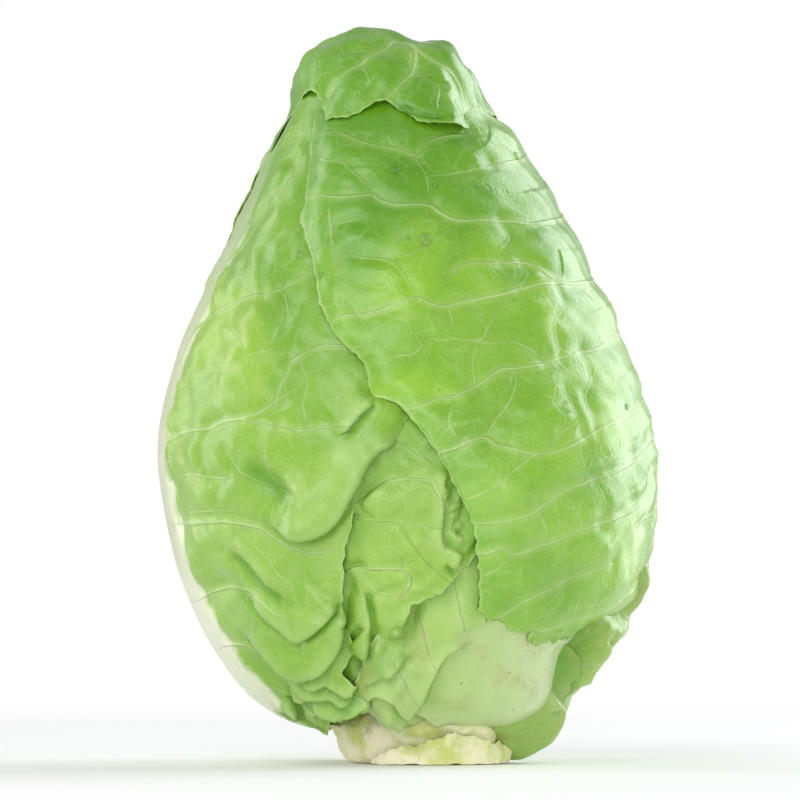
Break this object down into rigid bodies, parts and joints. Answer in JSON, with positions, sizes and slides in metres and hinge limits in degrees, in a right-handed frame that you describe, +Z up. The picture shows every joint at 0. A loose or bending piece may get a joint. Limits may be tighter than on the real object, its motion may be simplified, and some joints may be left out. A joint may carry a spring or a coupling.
{
  "type": "pointed cabbage",
  "caption": "Pointed cabbage standing on its cut stump: a dense teardrop head wrapped in overlapping veined leaves, with a white stalk low at the front and a folded hood at the tip.",
  "frame": {"origin": "on the flat cut face of the stump, under the axis of the head, 5 mm to the left of the cut's own middle", "axes": "+Z up from the cut face to the tip, along the head; -Y towards the front, where the white stalk and the folds show; +X to the right seen from the front"},
  "size_m": [0.1508, 0.1491, 0.2207],
  "materials": {
    "outer_leaf": "satin",
    "inner_leaf": "satin",
    "pale_leaf": "satin",
    "heart": "satin",
    "stem": "matte"
  },
  "bodies": {
    "root": {"stem": "stem", "stalk_stub": "stem", "heart": "heart", "leaf_front": "pale_leaf", "leaf_middle": "inner_leaf", "leaf_left": "inner_leaf", "leaf_right": "outer_leaf", "leaf_back": "outer_leaf", "leaf_torn": "outer_leaf"}
  },
  "joints": []
}
